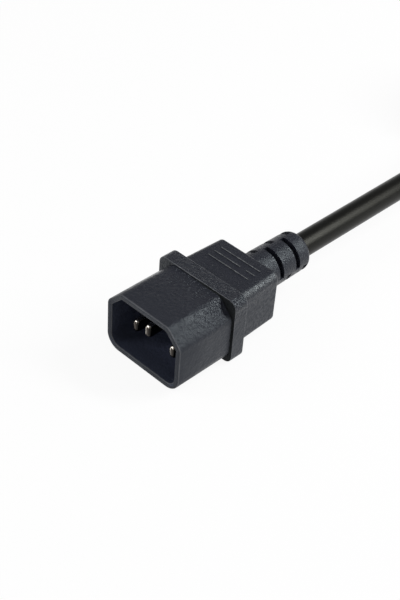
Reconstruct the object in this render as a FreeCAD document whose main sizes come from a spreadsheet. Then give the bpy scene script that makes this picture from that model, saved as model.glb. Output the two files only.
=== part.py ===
import FreeCAD, Part

import math
import os

import Sketcher
from FreeCAD import Placement, Rotation, Vector

# A detachable power cord for equipment racks: a three-pin appliance plug at one end, a round
# sheathed cord, and the mating three-slot connector at the other end.
#
# Row frame: +Y runs from the plug's mouth to its cord, +Z is up and +X is to the right when
# looking along +Y. The plug stands on the underside of its flange, the chamfered earth side up.
# The origin is on the floor under the middle of the plug.
#
# Plug pieces are drawn with the mouth plane at y = 0 and the shroud's centre line at z = 0.
# Connector pieces are drawn the same way from the connector's own mouth.

# Driving sizes in millimetres
SIZES = {
    # plug shroud, a rectangle with two corners cut on the earth side
    "shroud_width": 27.6,
    "shroud_height": 20.2,
    "shroud_chamfer": 4.8,
    "shroud_wall": 1.6,
    "shroud_corner": 4.6,
    "shroud_edge": 2.4,
    "shroud_reach": 19.5,
    "cavity_depth": 17.5,
    "rim_round": 0.45,
    # flange, by how far it stands out past the shroud
    "flange_side": 0.7,
    "flange_top": 0.4,
    "flange_drop": 0.6,
    "flange_thick": 4.8,
    "flange_corner": 2.5,
    "flange_round": 0.3,
    # flat pins
    "pin_thick": 2.0,
    "pin_width": 4.0,
    "pin_pitch": 14.0,
    "earth_offset": 4.0,
    "pin_reach": 13.6,
    "earth_lead": 2.3,
    "pin_nose": 0.8,
    "pin_shoulder": 1.3,
    # crimp barrels and wires
    "barrel_diameter": 3.4,
    "barrel_length": 5.5,
    "barrel_bore_depth": 4.5,
    "conductor_diameter": 1.5,
    "core_diameter": 2.7,
    "core_lay": 1.6,
    "core_straight": 2.0,
    # pin carrier behind the cavity floor
    "carrier_margin": 1.5,
    "carrier_ledge": 1.3,
    "ledge_thick": 2.0,
    "bridge_margin": 1.2,
    "fit_gap": 0.1,
    # grip moulding
    "grip_width": 24.0,
    "grip_taper": 0.7,
    "grip_height": 17.0,
    "grip_length": 16.0,
    "grip_drop": 0.2,
    "grip_round": 2.2,
    "grip_end_round": 0.7,
    "line_length": 15.0,
    "line_width": 0.3,
    "line_rise": 0.15,
    "line_pitch": 2.5,
    "line_start": 7.3,
    "line_break": 2.2,
    # strain relief
    "relief_diameter": 12.8,
    "relief_taper": 0.3,
    "relief_length": 21.0,
    "relief_round": 1.4,
    "slot_rows": 5,
    "slot_start": 3.8,
    "slot_pitch": 3.5,
    "slot_width": 1.7,
    "sleeve_thick": 0.9,
    "side_slot_arc": 107.0,
    "end_slot_arc": 68.0,
    "slot_turn": 43.0,
    # cord and its hank
    "cord_diameter": 7.5,
    "jacket_lead_in": 2.0,
    "hank_x": -8.0,
    "hank_offset": 174.0,
    "hank_half": 67.5,
    "fold_radius": 24.0,
    "turn_gap": 0.1,
    "facet": 1.4,
    "tie_width": 12.0,
    "tie_thick": 1.2,
    "tail_start": 8.0,
    # far connector
    "face_width": 24.0,
    "face_height": 16.4,
    "face_chamfer": 4.2,
    "face_corner": 2.8,
    "face_reach": 17.5,
    "spigot_length": 3.0,
    "spigot_inset": 2.6,
    "front_wall": 2.5,
    "slot_gap": 0.25,
    "contact_thick": 3.4,
    "contact_width": 4.6,
    "contact_length": 12.5,
    "contact_grip": 10.5,
    "handle_width": 22.0,
    "handle_height": 15.2,
    "handle_taper": 1.6,
    "handle_length": 22.0,
    "rib_rows": 5,
    "rib_start": 5.0,
    "rib_width": 1.2,
    "rib_depth": 0.6,
    "rib_pitch": 2.6,
}

PLUG_LENGTH = "(Sizes.shroud_reach + Sizes.flange_thick + Sizes.grip_length + Sizes.relief_length)"
AXIS_HEIGHT = "(Sizes.flange_drop + Sizes.shroud_height / 2)"
FLANGE_REAR = "(Sizes.shroud_reach + Sizes.flange_thick)"
PLATE_DEPTH = "(Sizes.shroud_reach + Sizes.flange_thick - Sizes.cavity_depth)"
CONNECTOR_LENGTH = "(Sizes.face_reach + Sizes.handle_length + Sizes.relief_length)"
TURN_PITCH = "(Sizes.cord_diameter + Sizes.turn_gap)"
WAIST = "(Sizes.cord_diameter / 2 + Sizes.turn_gap / 2)"
FOLD_CENTRE = "(Sizes.hank_half - Sizes.fold_radius)"
TUNNEL = "(Sizes.barrel_diameter + 2 * Sizes.fit_gap)"
FOLD_OUTSIDE = "(Sizes.fold_radius + Sizes.cord_diameter / 2)"

# How far each pin's centre lies from the plug's centre line, in pin pitches and earth offsets
PIN_PLACES = {"line": (0.5, -0.5), "neutral": (-0.5, -0.5), "earth": (0.0, 0.5)}
# Where each core lies in the cord, by its angle round the cord's centre
CORE_ANGLES = {"line": -30.0, "neutral": 210.0, "earth": 90.0}

doc = FreeCAD.newDocument("power_cord")
sheet = doc.addObject("Spreadsheet::Sheet", "Sizes")
for row, (alias, number) in enumerate(SIZES.items(), start=1):
    sheet.set(f"A{row}", alias.replace("_", " "))
    sheet.set(f"B{row}", str(number))
    sheet.setAlias(f"B{row}", alias)
doc.recompute()


def value(formula):
    """The number that a formula of sheet cells gives now."""
    return float(sheet.evalExpression(formula))


def size(alias):
    return value(f"Sizes.{alias}")


def place(thing, x="0", y="0", z="0", turn=0.0):
    """Put a piece at formulas of sheet cells, turned about +Z."""
    thing.Placement = Placement(Vector(value(x), value(y), value(z)), Rotation(Vector(0, 0, 1), turn))
    for axis, formula in (("x", x), ("y", y), ("z", z)):
        thing.setExpression(f"Placement.Base.{axis}", formula)
    return thing


def place_in_plug(thing, x="0", y="0", z="0"):
    return place(thing, x, f"{y} - {PLUG_LENGTH} / 2", f"{z} + {AXIS_HEIGHT}")


def place_in_connector(thing, x="0", y="0", z="0"):
    """Connector pieces face the other way, on top of the hank's far fold."""
    mouth = f"{PLUG_LENGTH} / 2 + Sizes.hank_offset + Sizes.tail_start + {CONNECTOR_LENGTH}"
    height = f"2 * {TURN_PITCH} + Sizes.face_height / 2"
    return place(thing, f"Sizes.hank_x - {WAIST} - ({x})", f"{mouth} - ({y})", f"{height} + ({z})", 180.0)


# Sketches and features

# A corner's formula that puts it on the sketch's own axis, and that axis by the distance it ends
ON_AXIS = "0"
AXIS_OF_DISTANCE = {"DistanceX": -2, "DistanceY": -1}


def new_body(name):
    body = doc.addObject("PartDesign::Body", name)
    body.Label = name
    return body


def sketch_on(body, name, role="XZ_Plane", offset="0"):
    """A sketch on an origin plane of its body; XZ sketches are moved along +Y by the offset."""
    plane = [item for item in body.Origin.OriginFeatures if item.Role == role][0]
    sketch = body.newObject("Sketcher::SketchObject", name)
    sketch.AttachmentSupport = [(plane, "")]
    sketch.MapMode = "FlatFace"
    sketch.setExpression("AttachmentOffset.Base.z", f"-({offset})" if role == "XZ_Plane" else offset)
    return sketch


def add_polygon(sketch, corners, label="corner"):
    """A closed outline whose corners are formulas of sheet cells."""
    spots = [Vector(value(across), value(up), 0) for across, up in corners]
    first = sketch.GeometryCount
    for start, end in zip(spots, spots[1:] + spots[:1]):
        sketch.addGeometry(Part.LineSegment(start, end), False)
    for index in range(len(spots)):
        following = first + (index + 1) % len(spots)
        sketch.addConstraint(Sketcher.Constraint("Coincident", first + index, 2, following, 1))
    for index, ((across, up), spot) in enumerate(zip(corners, spots)):
        for kind, formula, number in (("DistanceX", across, spot.x), ("DistanceY", up, spot.y)):
            if formula == ON_AXIS:
                axis = AXIS_OF_DISTANCE[kind]
                sketch.addConstraint(Sketcher.Constraint("PointOnObject", first + index, 1, axis))
                continue
            rule = sketch.addConstraint(Sketcher.Constraint(kind, -1, 1, first + index, 1, number))
            rule_name = f"{label}_{index}_{kind[-1]}"
            sketch.renameConstraint(rule, rule_name)
            sketch.setExpression(f"Constraints.{rule_name}", formula)
    return sketch


def rectangle(left, right, low, high):
    return [(left, low), (right, low), (right, high), (left, high)]


def centred(width, height):
    return rectangle(f"-({width}) / 2", f"({width}) / 2", f"-({height}) / 2", f"({height}) / 2")


def cut_corner_outline(width, height, chamfer):
    """A rectangle with its two upper corners cut at 45 degrees."""
    half = f"({width}) / 2"
    top = f"({height}) / 2"
    return [
        (f"-{half}", f"-{top}"),
        (half, f"-{top}"),
        (half, f"{top} - ({chamfer})"),
        (f"{half} - ({chamfer})", top),
        (f"-{half} + ({chamfer})", top),
        (f"-{half}", f"{top} - ({chamfer})"),
    ]


def circle_sketch(body, name, diameter, offset="0"):
    sketch = sketch_on(body, name, offset=offset)
    sketch.addGeometry(Part.Circle(Vector(0, 0, 0), Vector(0, 0, 1), value(diameter) / 2), False)
    sketch.addConstraint(Sketcher.Constraint("Coincident", 0, 3, -1, 1))
    rule = sketch.addConstraint(Sketcher.Constraint("Diameter", 0, value(diameter)))
    sketch.renameConstraint(rule, "across")
    sketch.setExpression("Constraints.across", diameter)
    return sketch


def pad(body, name, sketch, length, along_y=True):
    """Material from an XZ sketch along +Y, or from an XY sketch upwards."""
    feature = body.newObject("PartDesign::Pad", name)
    feature.Profile = sketch
    feature.Reversed = along_y
    feature.setExpression("Length", length)
    doc.recompute()
    return feature


def pocket(body, name, sketch, length):
    """A cut against the sketch's normal: along +Y from an XZ sketch, down from an XY sketch."""
    volume_before = body.Shape.Volume
    feature = body.newObject("PartDesign::Pocket", name)
    feature.Profile = sketch
    feature.setExpression("Length", length)
    doc.recompute()
    if not body.Shape.Volume < volume_before:
        raise ValueError(f"{name} in {body.Label} cuts nothing")
    return feature


def fillet(body, name, test, radius):
    """Round every edge of the body that passes the test."""
    base = body.Tip
    names = [f"Edge{index}" for index, edge in enumerate(base.Shape.Edges, start=1) if test(edge)]
    if not names:
        raise ValueError(f"{name} in {body.Label} finds no edge")
    feature = body.newObject("PartDesign::Fillet", name)
    feature.Base = (base, names)
    feature.setExpression("Radius", radius)
    doc.recompute()
    return feature


def near(number, other):
    return abs(number - other) < 0.001


def runs_along(edge, axis):
    """Whether an edge is straight and parallel to an axis."""
    if edge.Curve.TypeId != "Part::GeomLine":
        return False
    direction = edge.tangentAt(edge.FirstParameter)
    return near(abs(direction.dot(axis)), 1.0)


def lies_at_y(edge, height):
    box = edge.BoundBox
    return near(box.YMin, height) and near(box.YMax, height)


ALONG_X = Vector(1, 0, 0)
ALONG_Y = Vector(0, 1, 0)
ALONG_Z = Vector(0, 0, 1)
QUARTER_TURN = 90


# Plug

def shroud_flange():
    """The hollow shroud with the flange behind it, one rigid moulding."""
    body = new_body("shroud_flange")
    outer = cut_corner_outline("Sizes.shroud_width", "Sizes.shroud_height", "Sizes.shroud_chamfer")
    pad(body, "ShroudPad", add_polygon(sketch_on(body, "ShroudOutline"), outer), FLANGE_REAR)
    low = -size("shroud_height") / 2
    fillet(
        body, "ShroudCorners",
        lambda edge: runs_along(edge, ALONG_Y) and near(edge.CenterOfMass.z, low),
        "Sizes.shroud_corner")
    fillet(
        body, "ShroudEdges",
        lambda edge: runs_along(edge, ALONG_Y) and edge.CenterOfMass.z > 0,
        "Sizes.shroud_edge")

    half_width = "(Sizes.shroud_width / 2 + Sizes.flange_side)"
    bottom = "(-Sizes.shroud_height / 2 - Sizes.flange_drop)"
    top = "(Sizes.shroud_height / 2 + Sizes.flange_top)"
    flange = sketch_on(body, "FlangeOutline", offset="Sizes.shroud_reach")
    add_polygon(flange, rectangle(f"-{half_width}", half_width, bottom, top))
    pad(body, "FlangePad", flange, "Sizes.flange_thick")
    fillet(
        body, "FlangeCorners",
        lambda edge: runs_along(edge, ALONG_Y) and near(abs(edge.CenterOfMass.x), value(half_width)),
        "Sizes.flange_corner")

    wall_chamfer = "(Sizes.shroud_chamfer - (2 - sqrt(2)) * Sizes.shroud_wall)"
    inner = cut_corner_outline(
        "Sizes.shroud_width - 2 * Sizes.shroud_wall",
        "Sizes.shroud_height - 2 * Sizes.shroud_wall",
        wall_chamfer)
    pocket(body, "Cavity", add_polygon(sketch_on(body, "CavityOutline"), inner), "Sizes.cavity_depth")
    inner_low = low + size("shroud_wall")
    fillet(
        body, "CavityCorners",
        lambda edge: runs_along(edge, ALONG_Y) and near(edge.CenterOfMass.z, inner_low),
        "Sizes.shroud_corner - Sizes.shroud_wall")

    cavity_floor = size("cavity_depth")
    fillet(
        body, "CavityEdges",
        lambda edge: runs_along(edge, ALONG_Y) and edge.CenterOfMass.z > 0
        and near(edge.BoundBox.YMin, 0.0) and near(edge.BoundBox.YMax, cavity_floor),
        "Sizes.shroud_edge - Sizes.shroud_wall")

    boss_width, boss_height = carrier_boss()
    window = add_polygon(
        sketch_on(body, "WindowOutline", offset="Sizes.cavity_depth"),
        centred(boss_width, boss_height))
    pocket(body, "CarrierWindow", window, PLATE_DEPTH)
    seat = add_polygon(
        sketch_on(body, "SeatOutline", offset="Sizes.cavity_depth + Sizes.ledge_thick"),
        centred(f"{boss_width} + 2 * Sizes.carrier_ledge", f"{boss_height} + 2 * Sizes.carrier_ledge"))
    pocket(body, "CarrierSeat", seat, f"{PLATE_DEPTH} - Sizes.ledge_thick")

    fillet(body, "RimRound", lambda edge: lies_at_y(edge, 0.0), "Sizes.rim_round")
    faces_y = (size("shroud_reach"), value(FLANGE_REAR))

    def on_flange_outline(edge):
        centre = edge.CenterOfMass
        if not any(lies_at_y(edge, face_y) for face_y in faces_y):
            return False
        if edge.Curve.TypeId == "Part::GeomCircle":
            return near(edge.Curve.Radius, size("flange_corner"))
        on_side = near(abs(centre.x), value(half_width))
        return on_side or near(centre.z, value(bottom)) or near(centre.z, value(top))

    fillet(body, "FlangeRound", on_flange_outline, "Sizes.flange_round")
    return place_in_plug(body)


def carrier_boss():
    """Width and height of the window that the carrier's boss fills, from the pins' spread."""
    width = "(Sizes.pin_pitch + Sizes.pin_thick + 2 * Sizes.carrier_margin)"
    height = "(Sizes.earth_offset + Sizes.pin_width + 2 * Sizes.carrier_margin)"
    return width, height


def bridge_block():
    """Width and height of the block behind the carrier that the crimp barrels pass through."""
    width = f"(Sizes.pin_pitch + {TUNNEL} + 2 * Sizes.bridge_margin)"
    height = f"(Sizes.earth_offset + {TUNNEL} + 2 * Sizes.bridge_margin)"
    return width, height


def bridge_room():
    """The block's outer shape, which keeps the grip's moulding out of the tunnels."""
    width, height = bridge_block()
    room = doc.addObject("Part::Box", "bridge_room")
    room.setExpression("Length", width)
    room.setExpression("Width", "Sizes.barrel_length")
    room.setExpression("Height", height)
    return place_in_plug(room, f"-{width} / 2", FLANGE_REAR, f"-{height} / 2")


def pin_carrier():
    """The insert that holds the pins, with a bridge of tunnels for the crimp barrels."""
    body = new_body("pin_carrier")
    boss_width, boss_height = carrier_boss()
    boss = centred(f"{boss_width} - 2 * Sizes.fit_gap", f"{boss_height} - 2 * Sizes.fit_gap")
    front = "Sizes.cavity_depth"
    pad(body, "Boss", add_polygon(sketch_on(body, "BossOutline", offset=front), boss), PLATE_DEPTH)
    plate = centred(
        f"{boss_width} + 2 * (Sizes.carrier_ledge - Sizes.fit_gap)",
        f"{boss_height} + 2 * (Sizes.carrier_ledge - Sizes.fit_gap)")
    plate_sketch = sketch_on(body, "PlateOutline", offset="Sizes.cavity_depth + Sizes.ledge_thick")
    pad(body, "Plate", add_polygon(plate_sketch, plate), f"{PLATE_DEPTH} - Sizes.ledge_thick")
    bridge = centred(*bridge_block())
    bridge_sketch = sketch_on(body, "BridgeOutline", offset=FLANGE_REAR)
    pad(body, "Bridge", add_polygon(bridge_sketch, bridge), "Sizes.barrel_length")
    for name, (across, up) in PIN_PLACES.items():
        middle_x = f"{across} * Sizes.pin_pitch"
        middle_z = f"{up} * Sizes.earth_offset"
        half_x = "(Sizes.pin_thick / 2 + Sizes.fit_gap / 2)"
        half_z = "(Sizes.pin_width / 2 + Sizes.fit_gap / 2)"
        slot = sketch_on(body, f"PinSlot_{name}", offset=front)
        add_polygon(slot, rectangle(
            f"{middle_x} - {half_x}", f"{middle_x} + {half_x}",
            f"{middle_z} - {half_z}", f"{middle_z} + {half_z}"))
        pocket(body, f"PinCut_{name}", slot, PLATE_DEPTH)
        hole = circle_sketch(body, f"BarrelHole_{name}", TUNNEL, FLANGE_REAR)
        hole.setExpression("AttachmentOffset.Base.x", middle_x)
        hole.setExpression("AttachmentOffset.Base.y", middle_z)
        pocket(body, f"BarrelCut_{name}", hole, "Sizes.barrel_length")
    return place_in_plug(body)


def barrel_and_bore(body, blade_length):
    """The crimp barrel behind a pin or contact, bored from its rear end."""
    pad(body, "Barrel", circle_sketch(body, "BarrelRing", "Sizes.barrel_diameter", blade_length),
        "Sizes.barrel_length")
    bore_start = f"{blade_length} + Sizes.barrel_length - Sizes.barrel_bore_depth"
    bore = circle_sketch(body, "BarrelBore", "Sizes.conductor_diameter + Sizes.fit_gap", bore_start)
    pocket(body, "Bore", bore, "Sizes.barrel_bore_depth")


def pin(name):
    """One flat pin: a blade with a rounded nose and its crimp barrel."""
    body = new_body(f"pin_{name}")
    reach = "Sizes.pin_reach"
    if name == "earth":
        reach = "(Sizes.pin_reach + Sizes.earth_lead)"
    blade_length = f"({reach} + {PLATE_DEPTH})"
    blade = add_polygon(sketch_on(body, "BladeOutline"), centred("Sizes.pin_thick", "Sizes.pin_width"))
    pad(body, "Blade", blade, blade_length)
    fillet(
        body, "NoseShoulders",
        lambda edge: runs_along(edge, ALONG_X) and lies_at_y(edge, 0.0),
        "Sizes.pin_shoulder")
    half = size("pin_thick") / 2
    fillet(
        body, "Nose",
        lambda edge: edge.BoundBox.YMin < size("pin_shoulder") - 0.001
        and near(abs(edge.CenterOfMass.x), half) and not runs_along(edge, ALONG_Y),
        "Sizes.pin_nose")
    barrel_and_bore(body, blade_length)
    across, up = PIN_PLACES[name]
    return place_in_plug(
        body, f"{across} * Sizes.pin_pitch", f"Sizes.cavity_depth - {reach}", f"{up} * Sizes.earth_offset")


def rounded_route(points, lead_in):
    """A wire of straight runs joined by tangent arcs, and the arcs' radii. The first run starts
    the lead-in's length before its first point."""
    edges = []
    radii = []
    start = points[0] + (points[0] - points[1]).normalize() * lead_in
    for before, corner, after in zip(points, points[1:], points[2:]):
        inward = (before - corner).normalize()
        outward = (after - corner).normalize()
        half_turn = (math.pi - inward.getAngle(outward)) / 2
        trim = 0.45 * min((corner - before).Length, (after - corner).Length)
        radius = trim / math.tan(half_turn)
        radii.append(radius)
        arc_start = corner + inward * trim
        arc_end = corner + outward * trim
        bisector = (inward + outward).normalize()
        arc_middle = corner + bisector * (radius / math.cos(half_turn) - radius)
        edges.append(Part.LineSegment(start, arc_start).toShape())
        edges.append(Part.Arc(arc_start, arc_middle, arc_end).toShape())
        start = arc_end
    edges.append(Part.LineSegment(start, points[-1]).toShape())
    return Part.Wire(edges), radii


def tube_along(points, diameter, lead_in=0.0):
    wire, radii = rounded_route(points, lead_in)
    start = wire.OrderedVertexes[0].Point
    section = Part.Wire([Part.makeCircle(diameter / 2, start, points[1] - points[0])])
    return wire.makePipeShell([section], True, False), wire, radii


def part_feature(name, shape):
    thing = doc.addObject("Part::Feature", name)
    thing.Label = name
    thing.Shape = shape
    return thing


def core_and_conductor(prefix, name, barrel_end, jacket_end, put):
    """One insulated core fanning in from its crimp barrel to the cord, its copper, and the room
    that both take up in the moulding."""
    across, up = PIN_PLACES[name]
    wide = Vector(across * size("pin_pitch"), 0, up * size("earth_offset"))
    angle = math.radians(CORE_ANGLES[name])
    lay = Vector(math.cos(angle), 0, math.sin(angle)) * size("core_lay") - ALONG_Z * size("grip_drop")
    straight = size("core_straight")
    stations = [
        (wide, barrel_end), (wide, barrel_end + straight), (lay, jacket_end - straight), (lay, jacket_end)]
    points = [spot + Vector(0, station, 0) for spot, station in stations]
    copper = tube_along(points, size("conductor_diameter"), size("barrel_bore_depth"))[0]
    bore = tube_along(points, size("conductor_diameter") + size("fit_gap"))[0]
    room = tube_along(points, size("core_diameter"))[0]
    put(part_feature(f"{prefix}conductor_{name}", copper))
    put(part_feature(f"{prefix}core_{name}", room.cut(bore)))
    put(part_feature(f"{prefix}core_room_{name}", room))


def strain_relief(body, start):
    """Rings and sleeve round the cord behind a grip, revolved about the cord's axis."""
    radius = "(Sizes.relief_diameter / 2)"
    end = f"({start} + Sizes.relief_length)"
    outline = sketch_on(body, "ReliefOutline", role="YZ_Plane")
    add_polygon(outline, [
        (f"{start} - Sizes.relief_taper", ON_AXIS),
        (end, ON_AXIS),
        (end, f"{radius} - Sizes.relief_taper"),
        (f"{start} - Sizes.relief_taper", radius)])
    outline.setExpression("AttachmentOffset.Base.y", "-Sizes.grip_drop")
    feature = body.newObject("PartDesign::Revolution", "Relief")
    feature.Profile = outline
    feature.ReferenceAxis = (outline, ["H_Axis"])
    feature.Angle = 4 * QUARTER_TURN
    doc.recompute()
    fillet(
        body, "ReliefRound",
        lambda edge: edge.Curve.TypeId == "Part::GeomCircle" and lies_at_y(edge, value(end))
        and edge.Curve.Radius > size("cord_diameter") / 2,
        "Sizes.relief_round")
    for index in range(int(size("slot_rows"))):
        on_sides = index % 2 == 1
        arc = "Sizes.side_slot_arc" if on_sides else "Sizes.end_slot_arc"
        first_turn = 0 if on_sides else QUARTER_TURN
        for side in range(2):
            turn = f"Sizes.slot_turn + {first_turn + 2 * side * QUARTER_TURN}"
            relief_slot(body, f"Slot_{index}_{side}", start, index, arc, turn)


def relief_slot(body, name, start, index, arc, turn):
    """One curved slot between two rings, open to the outside and stopping at the sleeve."""
    near_end = f"({start} + Sizes.slot_start + {index} * Sizes.slot_pitch)"
    floor = "(Sizes.cord_diameter / 2 + Sizes.sleeve_thick)"
    outside = "(Sizes.relief_diameter / 2 + Sizes.sleeve_thick)"
    outline = sketch_on(body, f"{name}_outline", role="YZ_Plane")
    add_polygon(outline, rectangle(near_end, f"{near_end} + Sizes.slot_width", floor, outside))
    outline.AttachmentOffset = Placement(Vector(), Rotation(ALONG_X, value(turn)))
    outline.setExpression("AttachmentOffset.Base.y", "-Sizes.grip_drop")
    outline.setExpression("AttachmentOffset.Rotation.Angle", turn)
    doc.recompute()
    volume_before = body.Shape.Volume
    groove = body.newObject("PartDesign::Groove", name)
    groove.Profile = outline
    groove.ReferenceAxis = (outline, ["H_Axis"])
    groove.Midplane = True
    groove.setExpression("Angle", arc)
    doc.recompute()
    if not body.Shape.Volume < volume_before:
        raise ValueError(f"{name} cuts nothing")


def tapered_grip(body, start, width, taper, height, length):
    """A block that narrows towards the cord, drawn from above."""
    low = f"(-({height}) / 2 - Sizes.grip_drop)"
    front_half = f"(({width}) / 2)"
    rear_half = f"({front_half} - {taper})"
    end = f"({start} + {length})"
    outline = sketch_on(body, "GripOutline", role="XY_Plane", offset=low)
    add_polygon(outline, [
        (f"-{front_half}", start), (front_half, start), (rear_half, end), (f"-{rear_half}", end)])
    pad(body, "Grip", outline, height, along_y=False)
    front_y = value(start)
    rear_y = value(end)
    fillet(
        body, "GripEdges",
        lambda edge: near(edge.BoundBox.YMin, front_y) and near(edge.BoundBox.YMax, rear_y),
        "Sizes.grip_round")
    fillet(body, "GripEnd", lambda edge: lies_at_y(edge, rear_y), "Sizes.grip_end_round")


def grip_lines(body):
    """Three fine raised lines across the top of the grip, the middle one with a break."""
    top = "Sizes.grip_height / 2 - Sizes.grip_drop"
    half = "(Sizes.line_length / 2)"
    gap_low = "Sizes.line_break"
    gap_high = "(2 * Sizes.line_break)"
    spans = {0: [(f"-{half}", half)], 1: [(f"-{half}", gap_low), (gap_high, half)], 2: [(f"-{half}", half)]}
    for row, pieces in spans.items():
        near_end = f"({FLANGE_REAR} + Sizes.line_start + {row} * Sizes.line_pitch)"
        for index, (left, right) in enumerate(pieces):
            outline = sketch_on(body, f"Line_{row}_{index}_outline", role="XY_Plane", offset=top)
            add_polygon(outline, rectangle(left, right, near_end, f"{near_end} + Sizes.line_width"))
            pad(body, f"Line_{row}_{index}", outline, "Sizes.line_rise", along_y=False)


def moulded_over(name, form, inside):
    """A soft moulding with the shape of the form, filled round the pieces inside it."""
    left = form
    for index, piece in enumerate(inside, start=1):
        label = name if index == len(inside) else f"{name}_room_{index}"
        cut = doc.addObject("Part::Cut", label)
        cut.Base = left
        cut.Tool = piece
        cut.Label = label
        left = cut
    doc.recompute()
    return left


def plug_wires():
    barrel_end = value(FLANGE_REAR) + size("barrel_length")
    jacket_end = value(FLANGE_REAR) + size("grip_length") + size("jacket_lead_in")
    for name in PIN_PLACES:
        core_and_conductor("", name, barrel_end, jacket_end, place_in_plug)


def grip_form():
    body = new_body("grip_form")
    tapered_grip(
        body, FLANGE_REAR, "Sizes.grip_width", "Sizes.grip_taper", "Sizes.grip_height", "Sizes.grip_length")
    grip_lines(body)
    strain_relief(body, f"({FLANGE_REAR} + Sizes.grip_length)")
    return place_in_plug(body)


# Cord

def cord_lead():
    """The cord from its end inside the plug to the hank. Points are from where it leaves the
    strain relief: right, along and the height above the floor."""
    exit_y = value(PLUG_LENGTH) / 2
    axis_z = value(AXIS_HEIGHT) - size("grip_drop")
    floor_z = size("cord_diameter") / 2
    inside = size("relief_length") - size("jacket_lead_in")
    hank_face = size("hank_offset") - size("hank_half") - size("cord_diameter") / 2 + size("facet")
    entry_x = size("hank_x") - value(WAIST)
    route = [
        (0.0, -inside, axis_z),
        (0.0, 16.0, axis_z),
        (-1.5, 58.0, 9.9),
        (entry_x, 84.0, floor_z),
        (entry_x, hank_face, floor_z),
    ]
    points = [Vector(x, exit_y + along, z) for x, along, z in route]
    shape, wire, radii = tube_along(points, size("cord_diameter"))
    section = math.pi * floor_z ** 2
    print("cord_lead radii", [round(radius, 1) for radius in radii])
    print("cord_lead volume over section times length", round(shape.Volume / section / wire.Length, 5))
    print("cord_lead length outside the plug", round(wire.Length - inside, 1))
    return part_feature("cord_lead", shape)


def primitive(kind, name, sizes, x="0", y="0", z="0"):
    thing = doc.addObject(kind, name)
    for item, formula in sizes.items():
        thing.setExpression(item, formula)
    return place(thing, x, y, z)


def hank_y(along="0"):
    return f"{PLUG_LENGTH} / 2 + Sizes.hank_offset + ({along})"


def cord_hank():
    """The outer shape of the put-away turns: two round folds joined by a waist, three turns
    high at the near fold and two at the far one."""
    waist_radius = (
        f"(({FOLD_CENTRE} ^ 2 + {WAIST} ^ 2 - Sizes.fold_radius ^ 2)"
        f" / (2 * (Sizes.fold_radius - {WAIST})))")
    hollow_radius = f"({waist_radius} - Sizes.cord_diameter / 2)"
    hollow_x = f"({waist_radius} + {WAIST})"
    reach = f"({FOLD_CENTRE} * {hollow_radius} / ({waist_radius} + Sizes.fold_radius))"
    contact = f"({FOLD_CENTRE} * {waist_radius} / ({waist_radius} + Sizes.fold_radius))"
    shoulder = f"({hollow_x} * {FOLD_OUTSIDE} / ({waist_radius} + Sizes.fold_radius))"
    low = f"(2 * {TURN_PITCH})"
    high = f"(3 * {TURN_PITCH})"
    near_fold = primitive(
        "Part::Cylinder", "hank_near_fold", {"Radius": FOLD_OUTSIDE, "Height": high},
        "Sizes.hank_x", hank_y(f"-{FOLD_CENTRE}"))
    far_fold = primitive(
        "Part::Cylinder", "hank_far_fold", {"Radius": FOLD_OUTSIDE, "Height": low},
        "Sizes.hank_x", hank_y(FOLD_CENTRE))
    waist = primitive(
        "Part::Box", "hank_waist", {"Length": f"2 * {shoulder}", "Width": f"2 * {reach}", "Height": low},
        f"Sizes.hank_x - {shoulder}", hank_y(f"-{reach}"))
    near_waist = primitive(
        "Part::Box", "hank_near_waist",
        {"Length": f"2 * {shoulder}", "Width": f"{reach} + Sizes.tie_width / 2", "Height": high},
        f"Sizes.hank_x - {shoulder}", hank_y(f"-{reach}"))
    joined = doc.addObject("Part::MultiFuse", "hank_joined")
    joined.Shapes = [near_fold, far_fold, waist, near_waist]

    cutters = []
    for side in (-1, 1):
        cutters.append(primitive(
            "Part::Cylinder", f"hank_hollow_{'left' if side < 0 else 'right'}",
            {"Radius": hollow_radius, "Height": f"2 * {high}"},
            f"Sizes.hank_x + {side} * {hollow_x}", hank_y(), f"-{high} / 2"))
    cutters.append(primitive(
        "Part::Box", "hank_tie_groove",
        {"Length": f"2 * {shoulder}", "Width": "Sizes.tie_width + 2 * Sizes.turn_gap",
         "Height": "2 * Sizes.tie_thick"},
        f"Sizes.hank_x - {shoulder}", hank_y("-Sizes.tie_width / 2 - Sizes.turn_gap"), "-Sizes.tie_thick"))
    cutters.append(primitive(
        "Part::Box", "hank_facet",
        {"Length": f"2 * {FOLD_OUTSIDE}", "Width": "2 * Sizes.facet", "Height": f"2 * {high}"},
        f"Sizes.hank_x - {FOLD_OUTSIDE}", hank_y(f"-{FOLD_CENTRE} - {FOLD_OUTSIDE} - Sizes.facet"),
        f"-{high} / 2"))
    hollows = doc.addObject("Part::MultiFuse", "hank_hollows")
    hollows.Shapes = cutters
    shaped = doc.addObject("Part::Cut", "hank_shaped")
    shaped.Base = joined
    shaped.Tool = hollows

    ridge = primitive(
        "Part::Box", "hank_ridge",
        {"Length": "Sizes.cord_diameter", "Width": "3 * Sizes.tail_start",
         "Height": f"{tail_height()} + Sizes.cord_diameter / 2 - {low}"},
        f"Sizes.hank_x - {WAIST} - Sizes.cord_diameter / 2", hank_y("-2 * Sizes.tail_start"), low)
    hank = doc.addObject("Part::Fuse", "cord_hank")
    hank.Base = shaped
    hank.Tool = ridge
    hank.Label = "cord_hank"
    doc.recompute()
    return hank


def tail_height():
    """Height of the cord's centre where it enters the far connector."""
    return f"(2 * {TURN_PITCH} + Sizes.face_height / 2 - Sizes.grip_drop)"


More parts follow.
